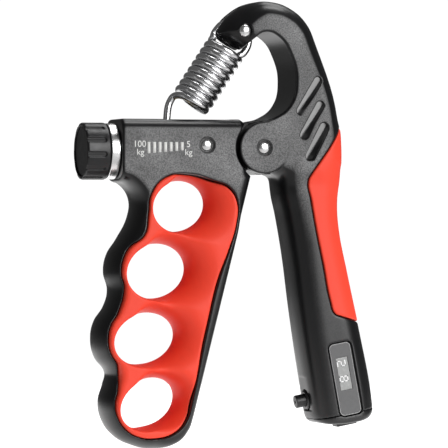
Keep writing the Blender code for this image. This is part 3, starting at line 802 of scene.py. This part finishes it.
def finger_side():
    """Everything that shows on the finger handle."""
    low, high = (-56, -14.5, -1.5), (25, 14.5, 131)
    frame_item = from_field("finger_frame_shell", finger_frame_field, low, high)
    place(frame_item, "finger_handle", "black", "black_plastic", "finger_frame")
    insert = from_field("finger_insert_soft", finger_insert_field, (-53, -14.5, 0), (4, 14.5, 110))
    place(insert, "finger_handle", "red", "soft_red", "finger_insert")
    rivet("housing_rivet", HOUSING_PIN, 2.4, "finger_handle", "housing_pin")
    rivet("pivot_rivet", PIVOT, 2.55, "finger_handle", "pivot_pin")
    collar_ring()
    resistance_scale()


# ---- adjuster

def knob_field(x, y, z):
    """The knob: twelve grooves round its side and an inset disc in its end."""
    pz = z - SCREW_Z
    radius = np.sqrt(y * y + pz * pz)
    middle, half = (KNOB_END + KNOB_FACE) / 2, (KNOB_FACE - KNOB_END) / 2
    body = keep(radius - KNOB_RADIUS, np.abs(x - middle) - half, 0.9)
    end_ring = np.maximum(np.abs(radius - (DISC_RADIUS - 0.1)) - 0.3, x - (KNOB_END + 1.1))
    recess = np.maximum(radius - DISC_RADIUS, x - (KNOB_END + DISC_SINK))
    pitch = 2 * math.pi / KNOB_GROOVES
    angle = np.arctan2(pz, -y) + math.radians(7)
    off_centre = (np.mod(angle + pitch / 2, pitch) - pitch / 2) * radius
    reach = np.maximum(x - KNOB_GROOVE_START, 0)
    groove = np.sqrt(off_centre ** 2 + reach ** 2) - KNOB_GROOVE_RADIUS
    groove = np.maximum(groove, KNOB_RADIUS - KNOB_GROOVE_DEPTH - radius)
    body = keep(body, -end_ring, 0.15)
    body = keep(body, -recess, 0.15)
    return keep(body, -groove, 0.2)


def adjuster():
    """The knob with its end disc."""
    reach = 12.5
    low, high = (-60, -reach, SCREW_Z - reach), (-48, reach, SCREW_Z + reach)
    item = from_field("grooved_knob", knob_field, low, high, VOXEL * 0.55)
    place(item, "adjuster", "satin", "knob_plastic", "knob", "knob_cap", "knob_screw")


# ---- spring

RISE = Vector((SPRING_TOP[0] - SPRING_FOOT[0], SPRING_TOP[1] - SPRING_FOOT[1])).normalized()


def on_spring(along, aside, depth=0.0):
    """A point in the spring's own frame: along its axis from the foot, aside, and in depth."""
    x = SPRING_FOOT[0] + RISE.x * along - RISE.y * aside
    z = SPRING_FOOT[1] + RISE.y * along + RISE.x * aside
    return (x, depth, z)


def coil_points(first_turn, last_turn):
    """Points on the coil between two turn counts."""
    per_turn = 24
    count = round((last_turn - first_turn) * per_turn)
    points = []
    for i in range(count + 1):
        turn = first_turn + (last_turn - first_turn) * i / count
        angle = 2 * math.pi * turn
        along = COIL_START + COIL_PITCH * turn
        points.append(on_spring(along, -COIL_RADIUS * math.cos(angle), COIL_RADIUS * math.sin(angle)))
    return points


def spring():
    """One chromed wire in two stretches that meet in the middle of the coil."""
    middle = COIL_TURNS / 2
    eye_radius, eye_centre = 4.3, 1.0
    lower = [on_spring(1.9, -eye_radius)]
    lower += [on_spring(eye_centre + eye_radius * math.sin(a), eye_radius * math.cos(a))
              for a in (-math.pi * (8 - i) / 8 for i in range(9))]
    lower += [on_spring(5.0, 6.4), on_spring(8.0, 7.2), on_spring(10.4, 7.1, -0.8)]
    lower += [on_spring(11.7, 5.5, -3.6), on_spring(12.1, 2.2, -6.2), on_spring(12.4, -2.0, -6.5)]
    lower += [on_spring(12.7, -5.2, -4.3)]
    lower_wire = tube("spring_wire_lower", spline(lower + coil_points(0.02, middle)), WIRE_RADIUS)
    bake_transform(lower_wire)
    loop, centre = 7.1, 42.15
    upper = [on_spring(38.6, loop - 0.25, -0.9), on_spring(40.2, loop, 0.0)]
    upper += [on_spring(centre + loop * math.sin(a), loop * math.cos(a))
              for a in (math.pi * i / 10 for i in range(11))]
    upper += [on_spring(40.0, -loop + 0.2), on_spring(38.9, 0.9 - loop)]
    path = spline(coil_points(middle, COIL_TURNS - 0.08) + upper)
    upper_wire = tube("spring_wire_upper", path, WIRE_RADIUS)
    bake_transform(upper_wire)
    wires = (
        (lower_wire, ("spring_lower_hook",)),
        (upper_wire, ("spring_coil", "spring_upper_hook")),
    )
    for item, nodes in wires:
        item.data.materials.append(MATERIALS["chrome"])
        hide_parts(*nodes)


# ---- palm lever

GROOVES = (
    ((34.2, 143.6), (27.2, 132.0)),
    ((35.1, 134.0), (28.6, 122.6)),
    ((36.7, 125.6), (30.8, 114.2)),
)
GROOVE_HALF_WIDTH = 1.9
GROOVE_LIP = 0.3
LEFT_STEEPNESS = 0.65


def groove_places(x, z):
    """For each groove: share of the way up it, offset across it, and distance outside its edge."""
    for top, bottom in GROOVES:
        ex, ez = top[0] - bottom[0], top[1] - bottom[1]
        length = math.hypot(ex, ez)
        ex, ez = ex / length, ez / length
        px, pz = x - bottom[0], z - bottom[1]
        along = px * ex + pz * ez
        across = px * ez - pz * ex
        beyond = np.maximum(np.abs(along - length / 2) - length / 2, 0)
        yield along / length, across, np.sqrt(across ** 2 + beyond ** 2) - GROOVE_HALF_WIDTH


def right_steepness(share):
    """A groove's right slope steepens from its lower to its upper end."""
    return mix(0.45, 2.2, np.clip(share, 0, 1) ** 1.6)


def groove_depths(share, across):
    """Depth of a groove's wide left slope and of its steeper right slope."""
    left = GROOVE_LIP + LEFT_STEEPNESS * (across + GROOVE_HALF_WIDTH)
    right = right_steepness(share) * (GROOVE_HALF_WIDTH - across)
    return left, np.maximum(right, 0.05)


def groove_field(x, y, z):
    """Slanted V grooves in each face."""
    result = 1e3
    for share, across, side in groove_places(x, z):
        depth = np.minimum(*groove_depths(share, across))
        result = np.minimum(result, keep(side, (HALF_DEPTH - depth) - np.abs(y), 0.1))
    return result


def groove_highlight_skins():
    """The pale satin slopes of the grooves, as thin skins on both faces: their pale grey is a painted
    highlight of the lit slope.
    """
    steps_along, steps_across = 48, 12
    for face in (-1, 1):
        points, faces = [], []
        for top, bottom in GROOVES:
            run = Vector((top[0] - bottom[0], top[1] - bottom[1]))
            length = run.length
            along_way, across_way = run / length, Vector((run.y, -run.x)) / length
            base = len(points)
            for i in range(steps_along + 1):
                along = -GROOVE_HALF_WIDTH + (length + 2 * GROOVE_HALF_WIDTH) * i / steps_along
                beyond = max(abs(along - length / 2) - length / 2, 0)
                edge = math.sqrt(max((GROOVE_HALF_WIDTH - 0.16) ** 2 - beyond ** 2, 0.0))
                crease = crease_at(along / length)
                right = max(min(crease, edge) - 0.05, -edge)
                for level in (0.06, -0.05):
                    for j in range(steps_across + 1):
                        across = mix(-edge, right, j / steps_across)
                        left_depth = groove_depths(along / length, across)[0]
                        spot = Vector(bottom) + along_way * along + across_way * across
                        points.append((spot.x, face * (HALF_DEPTH - left_depth + level), spot.y))
            row = steps_across + 1
            ring = list(range(row)) + list(range(2 * row - 1, row - 1, -1))
            last = base + steps_along * 2 * row
            for a in range(base, last, 2 * row):
                b = a + 2 * row
                faces += [(a + j, b + j, b + k, a + k) for j, k in zip(ring, ring[1:] + ring[:1])]
            faces.append([base + j for j in ring])
            faces.append([last + j for j in reversed(ring)])
        item = new_mesh("groove_slopes_front" if face < 0 else "groove_slopes_back", points, faces)
        weld(item)
        item.data.set_sharp_from_angle(angle=math.radians(40))
        # The grey skin paints the highlight where each groove's left slope catches the light.
        place(item, "palm_lever", "grey", "black_plastic")


def crease_at(share):
    """Offset across a groove where its two slopes meet."""
    steepness = right_steepness(share)
    rise = (steepness - LEFT_STEEPNESS) * GROOVE_HALF_WIDTH - GROOVE_LIP
    return rise / (LEFT_STEEPNESS + steepness)


def lever_shape(x, y, z):
    """The lever's outer shape: bow, hinge cheeks and oval handle, without its pockets."""
    bow_edge = mix(7.0, 8.5, ramp(z, 132.0, 158.0))
    bow_edge = mix(bow_edge, 12.2, ramp(15.0 - x, 0.0, 12.0))
    bow = slab(BOW.distance(x, z), y, bow_edge, bow_edge)
    bow = keep(bow, slab(-ARCH.distance(x, z), y, 1.6, 1.6), 0.8)
    across = away_from(PIVOT, x, z)
    cheeks = slab(across - CHEEK_RADIUS, y, 0.9, 0.9)
    upper = join(bow, cheeks, 0.6)
    return join(upper, handle_shape(x, y, z), mix(0.3, 4.0, ramp(x, 13.0, 27.0)))


def handle_shape(x, y, z):
    """The oval handle with its squared lower end."""
    handle = slab(HANDLE.distance(x, z), y, 10.6, 12.6, 2.4)
    return keep(handle, END.distance(x, z), 2.2)


def lever_field(x, y, z):
    """The hard lever with its hinge fork, hook slot, grooves, counter pocket and split end."""
    solid = lever_shape(x, y, z)
    solid = keep(solid, -(PAD.distance(x, z) - 0.12), 0.7)
    across = away_from(PIVOT, x, z)
    fork = np.maximum(across - TONGUE_ROOM, np.abs(y) - CHEEK_INNER)
    neck = block(x, y, z, (-6, -CHEEK_INNER, 103), (PIVOT[0], CHEEK_INNER, 124.5))
    hook = away_from(HOOK_SLOT, x, z) - HOOK_SLOT_RADIUS
    hook = np.maximum(hook, np.abs(y) - HOOK_SLOT_HALF)
    solid = keep(solid, -np.minimum(fork, neck), 0.4)
    solid = keep(solid, -hook, 0.5)
    solid = keep(solid, -groove_field(x, y, z), 0.2)
    solid = keep(solid, -rivet_recess(x, y, z, PIVOT), 0.3)
    solid = keep(solid, -rivet_recess(x, y, z, SPRING_TOP, 2.9, 2.0), 0.3)
    u, w = counter_frame(x, z)
    facet = block(u, y, w, (-20, -20, 4.0), (-10.9, 20, 17.5))
    bush_room = rod(u, y, w, (-20, 0, PLUNGER_Z), (-8, 0, PLUNGER_Z), 4.1)
    door_room = rod(u, y, w, (0.3, 11.0, 20.0), (0.3, 16.0, 20.0), 7.8)
    for cutter in (panel_pocket(u, y, w), facet, bush_room, door_room):
        solid = keep(solid, -cutter, 0.35)
    return keep(solid, CAP_SEAM + SEAM_GAP - w, SEAM_BLEND)


def end_cap_field(x, y, z):
    """The handle's lower end."""
    u, w = counter_frame(x, z)
    solid = keep(handle_shape(x, y, z), w - CAP_SEAM + SEAM_GAP, SEAM_BLEND)
    button_room = block(u, y, w, (-1.2, -3.2, -9), (7.5, 3.2, 3))
    solid = keep(solid, -panel_pocket(u, y, w), 0.35)
    return keep(solid, -button_room, 0.3)


def pad_field(x, y, z):
    """The soft pad on the handle's outer side, standing a little proud."""
    solid = lever_shape(x, y, z) - 0.1
    solid = keep(solid, PAD.distance(x, z) + 0.12, 0.8)
    core = np.maximum(-(x - 30.0), np.abs(y) - 9.0)
    return keep(solid, -np.maximum(core, x - 38.5), 0.3)


def lever_side():
    """Everything that turns with the palm lever."""
    lever = from_field("lever_shell", lever_field, (-7, -14.5, 5), (63, 14.5, 177))
    place(lever, "palm_lever", "black", "black_plastic", "lever_body")
    groove_highlight_skins()
    pad = from_field("palm_pad_soft", pad_field, (26, -14.5, 44), (61, 14.5, 131))
    place(pad, "palm_lever", "red", "soft_red", "palm_pad")
    cap = from_field("lever_end_cap", end_cap_field, (28, -14.5, 3), (64, 14.5, 30))
    place(cap, "palm_lever", "black", "black_plastic", "end_cap")
    rivet("spring_rivet", SPRING_TOP, 2.3, "palm_lever", "spring_pin")
    counter()


# ---- counter

COUNTER_PLACE = Matrix.Translation((COUNTER_ORIGIN[0] * MM, 0, COUNTER_ORIGIN[1] * MM))
COUNTER_TO_WORLD = COUNTER_PLACE @ Matrix.Rotation(-COUNTER_TILT, 4, "Y")


def panel_outline(u, w, grow=0.0, extra_right=0.0):
    """Distance outside the counter's long rounded panel."""
    half_wide = PANEL_HALF[0] + extra_right
    du = np.abs(u - LENS_X - extra_right) - half_wide + PANEL_CORNER
    dw = np.abs(w - PANEL_MIDDLE) - PANEL_HALF[1] + PANEL_CORNER
    outside = np.sqrt(np.maximum(du, 0) ** 2 + np.maximum(dw, 0) ** 2)
    return outside + np.minimum(np.maximum(du, dw), 0) - PANEL_CORNER - grow


def panel_pocket(u, y, w):
    """The room for the panel in the handle's front, a little wider at its outer side."""
    return np.maximum(panel_outline(u, w, 0.3, 0.25), y - PANEL_FLOOR)


def window_outline(u, w):
    """Distance outside the display's window."""
    return np.maximum(np.abs(u - WINDOW[0]) - WINDOW_HALF[0], np.abs(w - WINDOW[1]) - WINDOW_HALF[1])


def panel_field(u, y, w):
    """The counter's panel with its window sunk in."""
    body = keep(panel_outline(u, w), np.abs(y + 12.35) - 0.55, 0.25)
    return keep(body, -np.maximum(window_outline(u, w), y + 12.65), 0.1)


def rim_field(u, y, w):
    """The fine light rim round the panel: a grey ring that paints the highlight on the panel's glossy
    raised edge.
    """
    ring = np.abs(panel_outline(u, w) + 0.22) - 0.12
    return np.maximum(ring, np.abs(y + 12.8) - 0.16)


def window_field(u, y, w):
    """The display's glass."""
    return np.maximum(window_outline(u, w) + 0.03, np.abs(y + 12.6) - 0.08)


def reset_field(u, y, w):
    """The reset button under the handle's end."""
    return block(u, y, w, (-0.6, -2.6, -4.3), (6.9, 2.6, 1.4)) - 0.4


SEGMENTS = {"2": "abged", "8": "abcdefg"}


def segment_digit(digit, middle):
    """A seven segment digit lying on its side: its top points along +u, and it reads down -w."""
    half_wide, half, face = 0.95, 1.6, -12.76
    margin = 0.2
    bars = {
        "a": ((-half_wide, half), (half_wide, half)), "g": ((-half_wide, 0), (half_wide, 0)),
        "d": ((-half_wide, -half), (half_wide, -half)), "f": ((-half_wide, 0), (-half_wide, half)),
        "b": ((half_wide, 0), (half_wide, half)), "e": ((-half_wide, -half), (-half_wide, 0)),
        "c": ((half_wide, -half), (half_wide, 0)),
    }
    points, faces = [], []
    for name in SEGMENTS[digit]:
        (left, bottom), (right, top) = bars[name]
        left, bottom, right, top = left - margin, bottom - margin, right + margin, top + margin
        base = len(points)
        for y in (face + 0.06, face):
            for across, up in ((left, bottom), (right, bottom), (right, top), (left, top)):
                points.append((LENS_X - 0.45 + up, y, middle - across))
        faces += [[base + i for i in corners] for corners in plate_faces()]
    item = new_mesh("digit_" + digit, points, faces)
    weld(item)
    item.data.set_sharp_from_angle(angle=math.radians(30))
    return item


def in_counter(item):
    """Move a piece made in the counter's frame to its place."""
    item.data.transform(COUNTER_TO_WORLD)
    return item


def counter():
    """The counter's panel, display, plunger and reset button."""
    low, high = (LENS_X - 5.0, -13.2, -0.4), (LENS_X + 5.0, -11.5, 29.4)
    for name, field, voxel, material, slot, nodes in (
        ("counter_panel", panel_field, 0.16, "lens", "lens", ("counter_lens",)),
        ("panel_rim", rim_field, 0.1, "rim", "lens", ()),
        ("display_window", window_field, 0.1, "display", "display", ()),
    ):
        piece = in_counter(from_field(name, field, low, high, voxel))
        place(piece, "palm_lever", material, slot, *nodes)
    for digit, middle in (("2", 20.8), ("8", 14.6)):
        place(in_counter(segment_digit(digit, middle)), "palm_lever", "segments", "display")
    c, s = math.cos(COUNTER_TILT), math.sin(COUNTER_TILT)
    outward = (-c, 0, -s)
    start = (COUNTER_ORIGIN[0] - PLUNGER_Z * s, 0, COUNTER_ORIGIN[1] + PLUNGER_Z * c)
    tip = [
        (0.0, 15.15, 0), (0.55, 15.15, 0), (0.7, 15.5, 0), (2.55, 15.5, 0.4), (2.55, 6.7, 0),
        (3.3, 6.7, 0), (3.3, 5.7, 0), (1.2, 5.7, 0), (1.2, 3.7, 0), (0.0, 3.7, 0),
    ]
    plunger = turned("counting_plunger", soft_profile(tip, 0.3), start, outward)
    place(plunger, "plunger", "satin", "knob_plastic", "plunger")
    collar = [
        (2.75, 11.6, 0), (3.35, 11.6, 0.2), (3.9, 11.2, 0.25), (3.9, 10.4, 0), (3.3, 10.4, 0),
        (3.3, 7.3, 0), (2.75, 7.3, 0),
    ]
    bush = turned("plunger_collar", soft_profile(collar, 0.2), start, outward)
    place(bush, "palm_lever", "satin", "knob_plastic", "plunger_bush")
    button = in_counter(from_field("reset_push", reset_field, (-2, -3.6, -5.5), (8, 3.6, 2.5), 0.25))
    place(button, "reset_button", "satin", "knob_plastic", "reset_button")


# ---- stage

VIEW_AZIMUTH = -17.0
LIGHT_TARGET = (0.0, 0.0, 0.09)
CAMERA_TARGET = (-0.00054, 0.0, 0.0876)
CAMERA_DISTANCE = 1.5


def stand(name, data, target, azimuth, elevation, distance):
    """Put a light or camera at a distance from its target, in a direction, looking at it."""
    item = link_new(name, data)
    a, e = math.radians(azimuth), math.radians(elevation)
    away = Vector((math.sin(a) * math.cos(e), -math.cos(a) * math.cos(e), math.sin(e)))
    item.location = Vector(target) + away * distance
    item.rotation_mode = "QUATERNION"
    item.rotation_quaternion = away.to_track_quat("Z", "Y")
    return item


def soft_box(name, azimuth, elevation, distance, width, height, power):
    """An area light aimed at the object, placed by the direction that it comes from."""
    data = bpy.data.lights.new(name, "AREA")
    data.shape = "RECTANGLE"
    data.size = width
    data.size_y = height
    data.energy = power
    stand(name, data, LIGHT_TARGET, azimuth, elevation, distance)


def floor():
    """A pale round floor that glows softly behind the object."""
    bpy.ops.mesh.primitive_circle_add(
        vertices=128, radius=0.6, fill_type="NGON", location=(0, 0, -0.0005)
    )
    item = bpy.context.active_object
    item.name = "floor"
    material, tree, shader = shader_tree("floor_white")
    place_on = add_node(tree, "ShaderNodeTexCoord").outputs["Object"]
    settings = {"Vector": place_on, "Angle": math.radians(-VIEW_AZIMUTH)}
    facing = add_node(tree, "ShaderNodeVectorRotate", settings, rotation_type="Z_AXIS")
    sides = add_node(tree, "ShaderNodeSeparateXYZ", {"Vector": facing.outputs["Vector"]}).outputs
    away = add_node(tree, "ShaderNodeMath", {0: sides["X"]}, operation="ABSOLUTE").outputs[0]
    behind = remap(tree, sides["Y"], -0.1, 0.0, 0.0, 1.0)
    glow = multiply(tree, behind, remap(tree, away, 0.12, 0.26, 1.0, 0.0))
    tree.links.new(remap(tree, glow, 0.0, 1.0, 0.08, 1.0), shader.inputs["Emission Strength"])
    shader.inputs["Base Color"].default_value = (0.60, 0.60, 0.60, 1.0)
    shader.inputs["Roughness"].default_value = 0.9
    shader.inputs["Emission Color"].default_value = (1.0, 1.0, 1.0, 1.0)
    item.data.materials.append(material)


def studio_world():
    """Dim surroundings that brighten to white straight behind the object."""
    world = bpy.data.worlds.new("studio")
    world.use_nodes = True
    tree = world.node_tree
    direction = add_node(tree, "ShaderNodeTexCoord").outputs["Generated"]
    azimuth = math.radians(VIEW_AZIMUTH)
    behind = (-math.sin(azimuth), math.cos(azimuth), 0.0)
    dot = add_node(tree, "ShaderNodeVectorMath", {0: direction, 1: behind}, operation="DOT_PRODUCT")
    level = remap(tree, dot.outputs["Value"], 0.980, 0.9965, 0.10, 1.05)
    tree.links.new(level, tree.nodes["Background"].inputs["Strength"])
    tree.nodes["Background"].inputs["Color"].default_value = (1.0, 1.0, 1.0, 1.0)
    bpy.context.scene.world = world


def camera_and_light():
    """A long lens looking level from the front left, and soft studio light."""
    bpy.context.scene.view_settings.view_transform = "Standard"
    soft_box("key", 24, 18, 1.2, 0.9, 0.8, 13)
    soft_box("left", -72, 8, 1.0, 0.10, 0.8, 0.15)
    soft_box("top", 90, 73, 0.9, 0.22, 0.5, 2.4)
    soft_box("rear", 140, 55, 1.4, 0.8, 0.6, 4)
    data = bpy.data.cameras.new("camera")
    data.lens = 306.7
    data.sensor_width = 36.0
    data.clip_start = 0.05
    data.clip_end = 20.0
    bpy.context.scene.camera = stand("camera", data, CAMERA_TARGET, VIEW_AZIMUTH, 0.0, CAMERA_DISTANCE)


def paint_inner_pieces():
    """Materials for the CAD pieces that stay as they are."""
    looks = {
        "steel": ("thrust_washer", "adjusting_screw", "anchor_pin", "button_cell", "plunger_spring"),
        "bearing": ("tail_bearing", "pivot_washer_front", "pivot_washer_back"),
        "brass": ("slider_nut", "battery_contact"),
        "switch": ("plunger_switch", "reset_switch"),
        "display": ("lcd_module",),
        "board": ("counter_board",),
        "satin": ("battery_door",),
    }
    for look, nodes in looks.items():
        for node in nodes:
            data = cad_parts[node].data
            data.materials.clear()
            data.materials.append(MATERIALS[look])


studio_world()
camera_and_light()
floor()
finger_side()
adjuster()
spring()
lever_side()
paint_inner_pieces()
